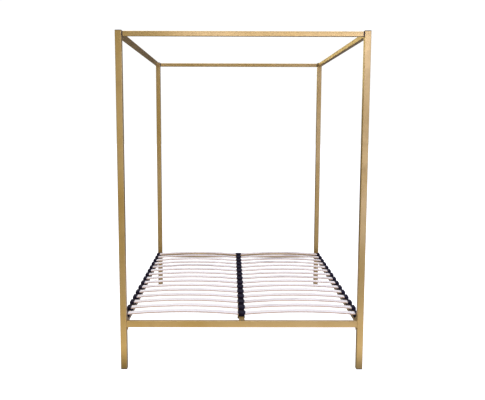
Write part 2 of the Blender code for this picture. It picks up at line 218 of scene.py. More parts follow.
def blend(tree, factor, first, second):
    """One colour at factor 0, turning into the other at 1."""
    node = tree.nodes.new("ShaderNodeMix")
    node.data_type = "RGBA"
    feed(tree, node.inputs[0], factor)
    feed(tree, node.inputs[6], first)
    feed(tree, node.inputs[7], second)
    return node.outputs[2]


def rgb(red, green, blue):
    return (red, green, blue, 1.0)


def noise(tree, place, scale, detail=2.0, roughness=0.5, distortion=0.0):
    node = add(
        tree, "ShaderNodeTexNoise", Vector=place, Scale=scale, Detail=detail,
        Roughness=roughness, Distortion=distortion,
    )
    return node.outputs["Fac"]


def long_noise(tree, place, scales, detail=2.0, roughness=0.5, distortion=0.0):
    """Noise with its own scale along each axis."""
    place = vector_maths(tree, "MULTIPLY", place, scales)
    return noise(tree, place, 1.0, detail, roughness, distortion)


def cells(tree, place, scale, output="Color"):
    return add(tree, "ShaderNodeTexVoronoi", Vector=place, Scale=scale).outputs[output]


def bump(tree, height, distance, strength, below=None):
    """A relief over the plain surface or over the relief below."""
    node = add(tree, "ShaderNodeBump", Height=height, Distance=distance, Strength=strength)
    if below is not None:
        tree.links.new(below, node.inputs["Normal"])
    return node.outputs["Normal"]


def object_place(tree):
    return add(tree, "ShaderNodeTexCoord").outputs["Object"]


def surface_normal(tree):
    return add(tree, "ShaderNodeNewGeometry").outputs["Normal"]


def split(tree, vector):
    """A vector's x, y and z."""
    return list(add(tree, "ShaderNodeSeparateXYZ", Vector=vector).outputs)


def corner_mask(tree):
    """1 on the rounded corners of an axis-aligned piece, 0 on its flat faces."""
    x, y, z = split(tree, vector_maths(tree, "ABSOLUTE", surface_normal(tree)))
    flattest = maths(tree, "MAXIMUM", maths(tree, "MAXIMUM", x, y), z)
    return remap(tree, flattest, 0.985, 0.78)


# --------------------------------------------------------------------- colours
GOLD_DEEP = rgb(0.43, 0.268, 0.062)
GOLD_PALE = rgb(0.53, 0.360, 0.130)
GOLD_PALE_RAILS = rgb(0.53, 0.365, 0.145)
GOLD_WORN = rgb(0.80, 0.64, 0.34)
GOLD_FLAKE = rgb(0.74, 0.53, 0.22)
GOLD_HANDLED = rgb(0.28, 0.165, 0.045)

BIRCH_PALE = rgb(0.92, 0.90, 0.88)
BIRCH_DEEP = rgb(0.80, 0.75, 0.71)
BIRCH_FIBRE = rgb(0.72, 0.63, 0.60)
BIRCH_FLECK = rgb(0.52, 0.36, 0.25)
BIRCH_KNOT = rgb(0.42, 0.25, 0.15)
BIRCH_DULL = rgb(0.84, 0.76, 0.73)
BIRCH_WARM = rgb(0.93, 0.85, 0.74)
BIRCH_STREAK = rgb(0.24, 0.19, 0.21)
LONG_VENEER = (rgb(0.93, 0.75, 0.58), rgb(0.86, 0.65, 0.48))
END_VENEER = (rgb(0.84, 0.62, 0.46), rgb(0.72, 0.49, 0.34))
GLUE = rgb(0.30, 0.18, 0.11)

CAP_BLACK = (rgb(0.018, 0.018, 0.024), rgb(0.035, 0.035, 0.046))
HOLDER_BLACK = (rgb(0.005, 0.004, 0.008), rgb(0.011, 0.009, 0.018))
GLIDE_GREY = (rgb(0.030, 0.028, 0.026), rgb(0.060, 0.056, 0.050))
PLASTIC_SCRATCH = rgb(0.16, 0.155, 0.165)
PLASTIC_RUBBED = rgb(0.11, 0.105, 0.12)
PLASTIC_SHEEN = rgb(0.60, 0.50, 0.95)

ZINC = (rgb(0.10, 0.10, 0.105), rgb(0.22, 0.21, 0.20))
ZINC_BRIGHT = rgb(0.62, 0.60, 0.56)


# ------------------------------------------------------------------- materials
def powder_coat(name, deep, pale):
    """Satin gold metallic powder coat: drifting tone, flake, orange peel and rubbed corners."""
    material, tree, shader = new_tree(name)
    place = object_place(tree)
    drift = remap(tree, noise(tree, place, 2.2, 3.0), 0.35, 0.65)
    tone = blend(tree, drift, deep, pale)
    flake = split(tree, cells(tree, place, 1500.0))[0]
    tone = blend(tree, remap(tree, flake, 0.0, 1.0, 0.0, 0.22), tone, GOLD_FLAKE)
    handled = remap(tree, noise(tree, place, 9.0, 5.0, 0.65), 0.56, 0.74)
    tone = blend(tree, times(tree, handled, 0.16), tone, GOLD_HANDLED)
    patchy = remap(tree, noise(tree, place, 48.0, 4.0, 0.7), 0.45, 0.62)
    rubbed = times(tree, corner_mask(tree), patchy)
    tone = blend(tree, times(tree, rubbed, 0.55), tone, GOLD_WORN)
    feed(tree, shader.inputs["Base Color"], tone)
    shader.inputs["Metallic"].default_value = 0.85
    rough = remap(tree, noise(tree, place, 14.0, 4.0), 0.3, 0.7, 0.36, 0.46)
    rough = plus(tree, rough, times(tree, handled, 0.07))
    rough = minus(tree, rough, times(tree, rubbed, 0.12))
    feed(tree, shader.inputs["Roughness"], rough)
    shader.inputs["Coat Weight"].default_value = 0.35
    shader.inputs["Coat Roughness"].default_value = 0.28
    peel = bump(tree, noise(tree, place, 420.0, 2.0), 0.00006, 0.8)
    grit = bump(tree, flake, 0.00001, 0.6, peel)
    feed(tree, shader.inputs["Normal"], grit)
    return material


def slat_seed(tree, place):
    """Random numbers that are the same all over one slat: its row and its side pick them."""
    x, y, _ = split(tree, place)
    row = maths(tree, "DIVIDE", minus(tree, y, FIRST_SLAT_Y), SLAT_PITCH)
    row = maths(tree, "ROUND", row)
    pair = add(tree, "ShaderNodeCombineXYZ", X=row, Y=maths(tree, "SIGN", x)).outputs[0]
    return add(tree, "ShaderNodeTexWhiteNoise", Vector=pair).outputs["Color"]


def ply_depth(tree, place):
    """0 on the underside of a bent slat to 1 on its top face, along its arc."""
    x, _, z = split(tree, place)
    length = SLAT_OUTER_END - SLAT_INNER_END
    radius = length**2 / (8 * SLAT_CROWN) + SLAT_CROWN / 2
    middle = (SLAT_OUTER_END + SLAT_INNER_END) / 2
    arc_low = SLOT_BOTTOM + GAP + SLAT_THICKNESS / 2 + SLAT_CROWN - radius
    across = minus(tree, maths(tree, "ABSOLUTE", x), middle)
    reach = hypotenuse(tree, across, minus(tree, z, arc_low))
    low = radius - SLAT_THICKNESS / 2
    return remap(tree, reach, low, low + SLAT_THICKNESS)


def birch_face(tree, place, moved, fibre, seed):
    """A slat's top and underside: figure, fibre, flecks, knots, and dark streaks on some."""
    lot, warmth, stained = split(tree, seed)
    figure = long_noise(tree, moved, (2.2, 34.0, 34.0), 4.0, 0.55, 0.9)
    face = blend(tree, remap(tree, figure, 0.34, 0.68), BIRCH_PALE, BIRCH_DEEP)
    face = blend(tree, remap(tree, fibre, 0.35, 0.75, 0.0, 0.30), face, BIRCH_FIBRE)
    fleck = remap(tree, long_noise(tree, moved, (60.0, 900.0, 900.0), 1.0), 0.66, 0.74)
    face = blend(tree, times(tree, fleck, 0.30), face, BIRCH_FLECK)
    stretched = vector_maths(tree, "MULTIPLY", moved, (2.6, 9.0, 9.0))
    knot = remap(tree, cells(tree, stretched, 1.0, "Distance"), 0.045, 0.012)
    face = blend(tree, times(tree, knot, 0.55), face, BIRCH_KNOT)
    face = blend(tree, times(tree, lot, 0.22), face, BIRCH_DULL)
    face = blend(tree, times(tree, warmth, 0.16), face, BIRCH_WARM)
    streaks = remap(tree, long_noise(tree, moved, (4.0, 60.0, 60.0), 3.0, 0.6), 0.50, 0.60)
    toward_rear = remap(tree, split(tree, place)[1], -0.3, 0.9, 0.0, 0.5)
    marked = remap(tree, plus(tree, stained, toward_rear), 0.70, 1.25)
    return blend(tree, times(tree, streaks, marked, 0.85), face, BIRCH_STREAK)


def birch_edge(tree, moved, layer, crossed):
    """A slat's edges: veneers laid along and across by turns, with dark glue lines."""
    grain = long_noise(tree, moved, (26.0, 90.0, 700.0), 3.0, 0.6)
    ends = long_noise(tree, moved, (700.0, 700.0, 300.0))
    long_veneer = blend(tree, remap(tree, grain, 0.3, 0.7), *LONG_VENEER)
    end_veneer = blend(tree, remap(tree, ends, 0.3, 0.7), *END_VENEER)
    edge = blend(tree, crossed, long_veneer, end_veneer)
    within = maths(tree, "FRACT", layer)
    to_joint = maths(tree, "MINIMUM", within, minus(tree, 1.0, within))
    glue = maths(tree, "LESS_THAN", to_joint, 0.06)
    return blend(tree, times(tree, glue, 0.6), edge, GLUE)


def birch(name):
    """Bent birch plywood: long pale grain on the faces, layered veneers on the edges."""
    material, tree, shader = new_tree(name)
    place = object_place(tree)
    seed = slat_seed(tree, place)
    shift = vector_maths(tree, "MULTIPLY", seed, (7.0, 11.0, 5.0))
    moved = vector_maths(tree, "ADD", place, shift)
    fibre = long_noise(tree, moved, (14.0, 620.0, 620.0), 3.0, 0.6)
    layer = times(tree, ply_depth(tree, place), float(PLY_LAYERS))
    crossed = maths(tree, "MODULO", maths(tree, "FLOOR", layer), 2.0)
    face = birch_face(tree, place, moved, fibre, seed)
    edge = birch_edge(tree, moved, layer, crossed)
    up = split(tree, surface_normal(tree))[2]
    on_edge = remap(tree, maths(tree, "ABSOLUTE", up), 0.80, 0.60)
    feed(tree, shader.inputs["Base Color"], blend(tree, on_edge, face, edge))
    rough = remap(tree, fibre, 0.3, 0.7, 0.38, 0.50)
    rough = plus(tree, rough, times(tree, on_edge, 0.22))
    feed(tree, shader.inputs["Roughness"], rough)
    shader.inputs["Coat Weight"].default_value = 0.18
    shader.inputs["Coat Roughness"].default_value = 0.30
    pores = bump(tree, fibre, 0.00010, 0.5)
    relief = bump(tree, times(tree, crossed, on_edge, -1.0), 0.00015, 0.5, pores)
    feed(tree, shader.inputs["Normal"], relief)
    return material


def moulded(name, tones, rough_low, rough_high, scuffs):
    """Injection-moulded plastic: fine texture, uneven gloss, greyed corners and scuffs."""
    material, tree, shader = new_tree(name)
    where = add(tree, "ShaderNodeObjectInfo").outputs["Location"]
    place = vector_maths(tree, "ADD", object_place(tree), where)
    tone = blend(tree, remap(tree, noise(tree, place, 22.0, 4.0), 0.3, 0.7), *tones)
    lines = long_noise(tree, place, (90.0, 600.0, 240.0), 3.0, 0.6, 1.4)
    scratch = times(tree, remap(tree, lines, 0.60, 0.72), scuffs)
    tone = blend(tree, scratch, tone, PLASTIC_SCRATCH)
    patchy = remap(tree, noise(tree, place, 160.0, 3.0), 0.4, 0.65)
    rubbed = times(tree, corner_mask(tree), patchy, 0.30)
    feed(tree, shader.inputs["Base Color"], blend(tree, rubbed, tone, PLASTIC_RUBBED))
    rough = remap(tree, noise(tree, place, 70.0, 3.0), 0.3, 0.7, rough_low, rough_high)
    rough = plus(tree, rough, times(tree, scratch, 0.25))
    feed(tree, shader.inputs["Roughness"], rough)
    shader.inputs["Specular IOR Level"].default_value = 0.22
    shader.inputs["Specular Tint"].default_value = PLASTIC_SHEEN
    texture = bump(tree, noise(tree, place, 1300.0, 2.0), 0.00003, 0.7)
    wavy = bump(tree, noise(tree, place, 55.0, 1.0), 0.00012, 0.5, texture)
    feed(tree, shader.inputs["Normal"], wavy)
    return material


def plated_steel(name, deep, pale):
    """Dark zinc plating of the bolts and screws, with turned rings and bright rubbed spots."""
    material, tree, shader = new_tree(name)
    place = object_place(tree)
    mottled = remap(tree, noise(tree, place, 260.0, 4.0, 0.6), 0.3, 0.7)
    x, y, _ = split(tree, place)
    rings = maths(tree, "SINE", times(tree, hypotenuse(tree, x, y), 14000.0))
    bright = remap(tree, noise(tree, place, 700.0, 3.0), 0.58, 0.70)
    tone = blend(tree, mottled, deep, pale)
    tone = blend(tree, times(tree, bright, 0.5), tone, ZINC_BRIGHT)
    feed(tree, shader.inputs["Base Color"], tone)
    shader.inputs["Metallic"].default_value = 1.0
    feed(tree, shader.inputs["Roughness"], remap(tree, mottled, 0.0, 1.0, 0.26, 0.42))
    feed(tree, shader.inputs["Normal"], bump(tree, rings, 0.000008, 0.5))
    return material


# The finish of each material slot in the record, and that of the bolts and screws
LOOKS = {
    "post_coat": powder_coat("gold_coat_posts", GOLD_DEEP, GOLD_PALE),
    "canopy_coat": powder_coat("gold_coat_canopy", GOLD_DEEP, GOLD_PALE),
    "rail_coat": powder_coat("gold_coat_rails", GOLD_DEEP, GOLD_PALE_RAILS),
    "slat_birch": birch("bent_birch_plywood"),
    "cap_plastic": moulded("cap_plastic", CAP_BLACK, 0.34, 0.46, 0.12),
    "holder_plastic": moulded("holder_plastic", HOLDER_BLACK, 0.36, 0.50, 0.06),
    "glide_plastic": moulded("glide_plastic", GLIDE_GREY, 0.48, 0.66, 0.55),
}
BOLT_STEEL = plated_steel("bolt_steel", *ZINC)


# ----------------------------------------------------------- mesh construction
def square(half, radius, z):
    """Points round a square with rounded corners. Equal half and radius make a circle."""
    points = []
    for turn, (sx, sy) in enumerate(((1, 1), (-1, 1), (-1, -1), (1, -1))):
        for step in range(CORNER_STEPS + 1):
            angle = math.pi / 2 * (turn + step / CORNER_STEPS)
            x = sx * (half - radius) + radius * math.cos(angle)
            y = sy * (half - radius) + radius * math.sin(angle)
            points.append((x, y, z))
    return points


def round_points(reach_at, z, count=AROUND):
    """Points round the middle, each as far out as reach_at gives for its angle."""
    points = []
    for i in range(count):
        angle = 2 * math.pi * i / count
        reach = reach_at(angle)
        points.append((reach * math.cos(angle), reach * math.sin(angle), z))
    return points


def circle(radius, z, count=AROUND):
    return round_points(lambda angle: radius, z, count)


def hexagon(radius, z):
    """Points round a regular hexagon, as many as the circle has."""
    def reach_at(angle):
        within = angle % (math.pi / 3) - math.pi / 6
        return radius * math.cos(math.pi / 6) / math.cos(within)
    return round_points(reach_at, z)


def cross(arm, core, z):
    """Points round the four arms of a cross-head recess."""
    def reach_at(angle):
        off_arm = abs((angle + math.pi / 4) % (math.pi / 2) - math.pi / 4)
        return arm if off_arm < math.radians(16) else core
    return round_points(reach_at, z)


def loft(rings):
    """A closed bmesh through rings of points, each with as many points as the next."""
    bm = bmesh.new()
    rows = [[bm.verts.new(point) for point in points] for points in rings]
    for lower, upper in zip(rows, rows[1:]):
        for i, vertex in enumerate(lower):
            j = (i + 1) % len(lower)
            bm.faces.new((vertex, lower[j], upper[j], upper[i]))
    bm.faces.new(list(reversed(rows[0])))
    bm.faces.new(rows[-1])
    bmesh.ops.remove_doubles(bm, verts=bm.verts, dist=1e-6)
    bmesh.ops.recalc_face_normals(bm, faces=bm.faces)
    return bm


def turned_to(bm, axis, sign):
    """Turns a bmesh made along +Z so that it points along another axis."""
    direction = Vector([sign * (letter == axis) for letter in "XYZ"])
    turn = direction.to_track_quat("Z", "Y").to_matrix()
    bmesh.ops.rotate(bm, verts=bm.verts, matrix=turn)
    return bm


def mesh_of(name, bm, smooth=35):
    """A mesh from a bmesh, smooth but for its edges over this many degrees."""
    mesh = bpy.data.meshes.new(name)
    bm.to_mesh(mesh)
    bm.free()
    mesh.shade_smooth()
    mesh.set_sharp_from_angle(angle=math.radians(smooth))
    return mesh


def put(name, mesh, place, slot, material=None, stands_for=()):
    """A piece of the bed at its place, with its finish."""
    obj = bpy.data.objects.new(name, mesh)
    obj.location = place
    bpy.context.scene.collection.objects.link(obj)
    if not mesh.materials:
        mesh.materials.append(material or LOOKS[slot])
    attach(obj, "root")
    if stands_for:
        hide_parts(*stands_for)


# --------------------------------------------------------- the CAD nodes' looks
SHARP_ANGLE = math.radians(50)
WELD_DISTANCE = 1e-5
FLAT_ANGLE = math.radians(0.6)
SLAT_ROUNDING = 0.0011
SLAT_EDGE_ANGLE = math.radians(55)


def smoothing_group():
    """Shades faces smooth and keeps edges over SHARP_ANGLE sharp."""
    group = bpy.data.node_groups.new("smooth_by_angle", "GeometryNodeTree")
    group.interface.new_socket("Geometry", in_out="INPUT", socket_type="NodeSocketGeometry")
    group.interface.new_socket("Geometry", in_out="OUTPUT", socket_type="NodeSocketGeometry")
    start = group.nodes.new("NodeGroupInput")
    end = group.nodes.new("NodeGroupOutput")
    faces = group.nodes.new("GeometryNodeSetShadeSmooth")
    edges = group.nodes.new("GeometryNodeSetShadeSmooth")
    edges.domain = "EDGE"
    angle = group.nodes.new("GeometryNodeInputMeshEdgeAngle")
    gentle = group.nodes.new("FunctionNodeCompare")
    gentle.data_type = "FLOAT"
    gentle.operation = "LESS_EQUAL"
    gentle.inputs[1].default_value = SHARP_ANGLE
    link = group.links.new
    link(start.outputs[0], faces.inputs["Geometry"])
    link(faces.outputs[0], edges.inputs["Geometry"])
    link(angle.outputs["Unsigned Angle"], gentle.inputs[0])
    link(gentle.outputs[0], edges.inputs["Shade Smooth"])
    link(edges.outputs[0], end.inputs[0])
    return group


SMOOTHING = smoothing_group()


def refine(name, rounding):
    """Joins a CAD node's triangles into faces, rounds its sharp edges and shades it smooth."""
    obj = frame["nodes"][name]
    weld = obj.modifiers.new("weld", "WELD")
    weld.merge_threshold = WELD_DISTANCE
    flat = obj.modifiers.new("flat_faces", "DECIMATE")
    flat.decimate_type = "DISSOLVE"
    flat.angle_limit = FLAT_ANGLE
    if rounding:
        edges = obj.modifiers.new("round_edges", "BEVEL")
        edges.width = rounding
        edges.segments = 3
        edges.limit_method = "ANGLE"
        edges.angle_limit = SLAT_EDGE_ANGLE
    smooth = obj.modifiers.new("smooth", "NODES")
    smooth.node_group = SMOOTHING
    normals = obj.modifiers.new("normals", "WEIGHTED_NORMAL")
    normals.keep_sharp = True


def dress_cad_nodes():
    """Every CAD node gets its finish, and all but the holders' hidden strips are refined."""
    slots = {part["node"]: part["material_slot"] for part in frame["record"]["subparts"]}
    for name, obj in frame["nodes"].items():
        for material_slot in obj.material_slots:
            material_slot.material = LOOKS[slots[name]]
        if not name.startswith("slat_holders"):
            refine(name, SLAT_ROUNDING if name.startswith("slat_") else 0.0)


# ------------------------------------------------------------ caps, feet, plugs
def squares(half, profile):
    """Squares along Z from a profile of how far in, corner radius and z."""
    return [square(half - inset, radius, z) for inset, radius, z in profile]


def square_insert(low, high, half, ridges):
    """Rings of a push-in insert with shallow grip ridges."""
    profile = [(0.0022, 0.0015, low), (0.0004, 0.002, low + 0.002)]
    step = (high - low - 0.003) / ridges
    for i in range(ridges):
        z = low + 0.003 + i * step
        profile += [
            (0.0009, 0.002, z), (0.0, 0.002, z + 0.45 * step), (0.0009, 0.002, z + 0.5 * step),
        ]
    profile.append((0.0009, 0.002, high))
    return squares(half, profile)


def post_cap_mesh():
    """A post cap from its insert up to a slightly domed top, z = 0 on its top."""
    radius = POST_RADIUS
    rings = square_insert(-0.014, -0.004, POST_HALF - TUBE_WALL - GAP, 3)
    rings += squares(POST_HALF, (
        (0.0007, radius - 0.0007, -0.004), (0.0, radius, -0.0034), (0.0, radius, -0.0017),
        (0.0003, radius, -0.0011), (0.0010, radius, -0.0006), (0.0020, radius, -0.00035),
        (0.0080, radius, -0.0001), (0.0140, radius, 0.0),
    ))
    return mesh_of("post_cap", loft(rings), PLASTIC_SMOOTH)


def post_foot_mesh():
    """A glide from its worn sole up to its insert, z = 0 on the floor."""
    radius = POST_RADIUS
    low, high = 0.005, 0.030
    rings = squares(POST_HALF, (
        (0.0060, radius, 0.0006), (0.0045, radius, 0.0), (0.0018, radius, 0.0),
        (0.0008, radius, 0.0004), (0.0002, radius, 0.0013), (0.0, radius, 0.0022),
        (0.0, radius, 0.0044), (0.0006, radius - 0.0006, 0.005),
    ))
    insert = square_insert(low, high, POST_HALF - TUBE_WALL - GAP, 6)
    rings += [[(x, y, low + high - z) for x, y, z in points] for points in reversed(insert)]
    return mesh_of("post_foot", loft(rings), PLASTIC_SMOOTH)


def canopy_plug():
    """A closed bmesh: a rail plug along +Z, with z = 0 on the face that meets the post."""
    radius = TUBE_RADIUS
    rings = square_insert(-0.028, -0.006, CANOPY_HALF - TUBE_WALL - GAP, 5)
    rings += squares(CANOPY_HALF, (
        (0.0006, radius, -0.006), (0.0, radius, -0.0054), (0.0, radius, -0.0008),
        (0.0007, radius, 0.0),
    ))
    rings += [square(pin, pin, z) for pin, z in ((0.006, 0.0), (0.006, 0.0078), (0.005, 0.009))]
    return loft(rings)


def centre_foot_mesh():
    """The support leg's round glide with a worn sole and a ribbed insert."""
    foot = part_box("centre_leg_foot")[1].x
    profile = [
        (foot - 0.007, 0.0006), (foot - 0.005, 0.0), (foot - 0.0022, 0.0), (foot - 0.0010, 0.0005),
        (foot - 0.0002, 0.0017), (foot, 0.003), (foot, 0.0068), (foot - 0.0006, 0.0077),
        (foot - 0.0012, 0.008), (0.0140, 0.008), (0.0140, 0.012), (0.0133, 0.0122),
        (0.0133, 0.0160), (0.0140, 0.0163), (0.0140, 0.0200), (0.0133, 0.0202),
        (0.0133, 0.0240), (0.0140, 0.0243), (0.0138, 0.0280), (0.0128, 0.0295),
    ]
    rings = [circle(radius, z, LEG_AROUND) for radius, z in profile]
    return mesh_of("centre_leg_foot", loft(rings), PLASTIC_SMOOTH)


def build_plastic_ends():
    """The caps, glides and plugs in the tubes' ends."""
    cap = post_cap_mesh()
    foot = post_foot_mesh()
    for side, sx in SIDES.items():
        plug = mesh_of(f"canopy_plug_{side}", turned_to(canopy_plug(), "X", sx), PLASTIC_SMOOTH)
        for end, sy in ENDS.items():
            corner = f"{end}_{side}"
            x = sx * POST_X
            y = sy * POST_Y
            for kind, mesh, place, slot, node in (
                ("cap", cap, (x, y, HEIGHT), "cap_plastic", "post_cap"),
                ("foot", foot, (x, y, 0), "glide_plastic", "post_foot"),
                ("plug", plug, (sx * RAIL_END, y, CANOPY_MIDDLE), "cap_plastic", "canopy_plug"),
            ):
                replaced = [f"{node}_{corner}"]
                put(f"moulded_{kind}_{corner}", mesh, place, slot, stands_for=replaced)
    foot = centre_foot_mesh()
    put("moulded_foot_centre", foot, (0, 0, 0), "glide_plastic", stands_for=["centre_leg_foot"])


# ---------------------------------------------------------------- slat holders
def outline_solid(outline, length, at=0.0):
    """A closed bmesh: an XZ outline pulled out along Y about a middle."""
    bm = bmesh.new()
    corners = [bm.verts.new((x, at - length / 2, z)) for x, z in outline]
    face = bm.faces.new(corners)
    pulled = bmesh.ops.extrude_face_region(bm, geom=[face])
    moved = [item for item in pulled["geom"] if isinstance(item, bmesh.types.BMVert)]
    bmesh.ops.translate(bm, vec=(0, length, 0), verts=moved)
    bmesh.ops.recalc_face_normals(bm, faces=bm.faces)
    return bm


def block(low, high, rounding, segments=2):
    """A closed bmesh: a box between two corners with rounded edges."""
    bm = bmesh.new()
    bmesh.ops.create_cube(bm, size=1.0)
    size = Vector(high) - Vector(low)
    bmesh.ops.scale(bm, vec=size, verts=bm.verts)
    bmesh.ops.translate(bm, vec=(Vector(high) + Vector(low)) / 2, verts=bm.verts)
    bmesh.ops.bevel(
        bm, geom=bm.edges, offset=rounding, segments=segments, profile=0.5, affect="EDGES",
    )
    return bm


def helper(bm):
    """A passing object that carve uses and removes."""
    mesh = bpy.data.meshes.new("helper")
    bm.to_mesh(mesh)
    bm.free()
    obj = bpy.data.objects.new("helper", mesh)
    bpy.context.scene.collection.objects.link(obj)
    return obj


def carve(body, cuts, joins):
    """The body with rounded edges, then cut and joined with the other solids, as one mesh."""
    obj = helper(body)
    edges = obj.modifiers.new("round_edges", "BEVEL")
    edges.width = HOLDER_ROUNDING
    edges.segments = 2
    edges.limit_method = "ANGLE"
    edges.angle_limit = HOLDER_EDGE_ANGLE
    others = []
    for operation, shapes in (("DIFFERENCE", cuts), ("UNION", joins)):
        for shape in shapes:
            other = helper(shape)
            others.append(other)
            modifier = obj.modifiers.new(operation, "BOOLEAN")
            modifier.operation = operation
            modifier.solver = "EXACT"
            modifier.object = other
    bpy.context.view_layer.update()
    graph = bpy.context.evaluated_depsgraph_get()
    mesh = bpy.data.meshes.new_from_object(obj.evaluated_get(graph))
    for made in [obj, *others]:
        bpy.data.objects.remove(made, do_unlink=True)
    mesh.shade_smooth()
    mesh.set_sharp_from_angle(angle=HOLDER_EDGE_ANGLE)
    return mesh


def lid_panel(x_low, x_high):
    """The shallow sunk panel in a holder's lid."""
    return block(
        (x_low, -LID_PANEL_HALF, HOLDER_TOP - LID_PANEL_DEPTH),
        (x_high, LID_PANEL_HALF, HOLDER_TOP + 0.002), 0.0005,
    )


def snap_windows(x_low, x_high, low):
    """The small windows through a skirt whose lower edge is at low."""
    return [
        block(
            (x_low, y - WINDOW_HALF, low + WINDOW_LOW),
            (x_high, y + WINDOW_HALF, low + WINDOW_HIGH), 0.0006,
        )
        for y in WINDOWS_Y
    ]


def lid_ribs(x_low, x_high):
    """The grip ribs that stand in the lid's sunk panel."""
    return [
        block(
            (x_low, y - RIB_HALF, HOLDER_TOP - RIB_DEPTH),
            (x_high, y + RIB_HALF, HOLDER_TOP), 0.0003, 1,
        )
        for y in RIBS_Y
    ]


def side_holder_mesh(sx):
    """A holder on a side rail, with its middle on the rail's: x runs out from the bed."""
    low = SIDE_HOLDER_BOX[0].z
    outer = SIDE_HOLDER_BOX[1].x - POST_X
    lip = SIDE_HOLDER_BOX[0].x - POST_X
    inner = -RAIL_HALF - GAP - HOLDER_SKIN
    wall = RAIL_HALF + GAP
    base = RAIL_TOP + GAP
    top = HOLDER_TOP
    lid = outer - 0.0284
    slot_end = SLAT_OUTER_END + 0.001 - POST_X
    half = SLOT_WIDTH / 2
    under_lip = SLOT_BOTTOM - HOLDER_SKIN
    outline = (
        (inner, low), (inner, base), (lip, under_lip), (lip, SLOT_BOTTOM),
        (lid, SLOT_BOTTOM), (lid, top - LID_CHAMFER), (lid + LID_CHAMFER, top),
        (outer - 0.003, top), (outer - 0.0009, top - 0.0009), (outer, top - 0.003),
        (outer, low), (wall, low), (wall, base), (-wall, base), (-wall, low),
    )
    slot_top = SLOT_BOTTOM + SLOT_HEIGHT
    cuts = [
        block((lip - 0.01, -half, SLOT_BOTTOM), (slot_end, half, slot_top), 0.0008),
        lid_panel(lid + 0.004, outer - 0.0055),
        *snap_windows(wall - 0.001, outer + 0.001, low),
    ]
    joins = lid_ribs(lid + 0.003, outer - 0.0045)
    gusset = (
        (inner + 0.0002, low + 0.001), (inner + 0.0002, base + 0.0005),
        (lip + 0.0005, under_lip + 0.0003),
    )
    joins += [outline_solid(gusset, GUSSET_THICKNESS, y) for y in GUSSETS_Y]
    body = outline_solid(outline, HOLDER_LENGTH)
    if sx < 0:
        for shape in (body, *cuts, *joins):
            bmesh.ops.scale(shape, vec=(-1, 1, 1), verts=shape.verts)
            bmesh.ops.recalc_face_normals(shape, faces=shape.faces)
    return carve(body, cuts, joins)


def centre_holder_mesh():
    """A double holder on the centre rail, the same on both sides of x = 0."""
    low = CENTRE_HOLDER_BOX[0].z
    wall = CENTRE_RAIL_BOX[1].x + GAP
    outer = wall + HOLDER_SKIN
    lid = CENTRE_HOLDER_BOX[1].x
    base = RAIL_TOP + 0.001 + GAP
    under_lid = SLOT_BOTTOM + SLOT_HEIGHT
    top = HOLDER_TOP
    half_outline = [
        (wall, base), (wall, low), (outer, low), (outer, under_lid),
        (lid, under_lid), (lid, top - LID_CHAMFER), (lid - LID_CHAMFER, top),
    ]
    outline = half_outline + [(-x, z) for x, z in reversed(half_outline)]
    half = SLOT_WIDTH / 2
    cuts = [lid_panel(-lid + 0.004, lid - 0.004)]
    joins = [block((-0.0012, -0.0235, top - RIB_DEPTH), (0.0012, 0.0235, top), 0.0003, 1)]
    for sx in SIDES.values():
        near, far = sorted((sx * (SLAT_INNER_END - 0.001), sx * (lid + 0.01)))
        cuts.append(block((near, -half, SLOT_BOTTOM), (far, half, under_lid), 0.0008))
        cuts += snap_windows(*sorted((sx * (wall - 0.001), sx * (outer + 0.001))), low)
        joins += lid_ribs(*sorted((sx * 0.002, sx * (lid - 0.0045))))
    return carve(outline_solid(outline, HOLDER_LENGTH), cuts, joins)


def build_holders():
    """One holder at each outer slat end and one for each pair of inner ends."""
    rows = [(side, sx * POST_X, side_holder_mesh(sx)) for side, sx in SIDES.items()]
    rows.append(("centre", 0, centre_holder_mesh()))
    for number in range(1, SLATS_PER_COLUMN + 1):
        y = FIRST_SLAT_Y + (number - 1) * SLAT_PITCH
        for row, x, mesh in rows:
            strip = [f"slat_holders_{row}"]
            put(f"holder_{row}_{number:02d}", mesh, (x, y, 0), "holder_plastic", stands_for=strip)


# ------------------------------------------------------- fasteners and welding
def turned_head(name, rings, axis, sign, smooth=40):
    return mesh_of(name, turned_to(loft(rings), axis, sign), smooth)


def socket_head(axis, sign):
    """A low button head with a hex socket, z = 0 on the face it clamps."""
    return turned_head("socket_head", (
        circle(0.0078, 0.0), circle(0.0080, 0.0003), circle(0.0079, 0.0007),
        circle(0.0070, 0.0016), circle(0.0055, 0.0022), circle(0.0040, 0.0025),
        circle(0.0034, 0.00255), hexagon(0.0030, 0.0022), hexagon(0.0029, 0.0006),
    ), axis, sign)


def hex_head(axis, sign):
    """A hexagon head on its washer, z = 0 on the face it clamps."""
    return turned_head("hex_head", (
        circle(0.0078, 0.0), circle(0.0082, 0.0003), circle(0.0082, 0.0012),
        circle(0.0078, 0.0015), hexagon(0.0060, 0.0015), hexagon(0.0060, 0.0052),
        hexagon(0.0054, 0.0058), circle(0.0044, 0.0059),
    ), axis, sign, 30)


def pan_head(axis, sign):
    """A pan head with a cross recess, z = 0 on the face it clamps."""
    return turned_head("pan_head", (
        circle(0.0046, 0.0), circle(0.0048, 0.0003), circle(0.0047, 0.0012),
        circle(0.0041, 0.0020), circle(0.0032, 0.0024), circle(0.0027, 0.0025),
        cross(0.0024, 0.0010, 0.0024), cross(0.0019, 0.0007, 0.0010),
    ), axis, sign)


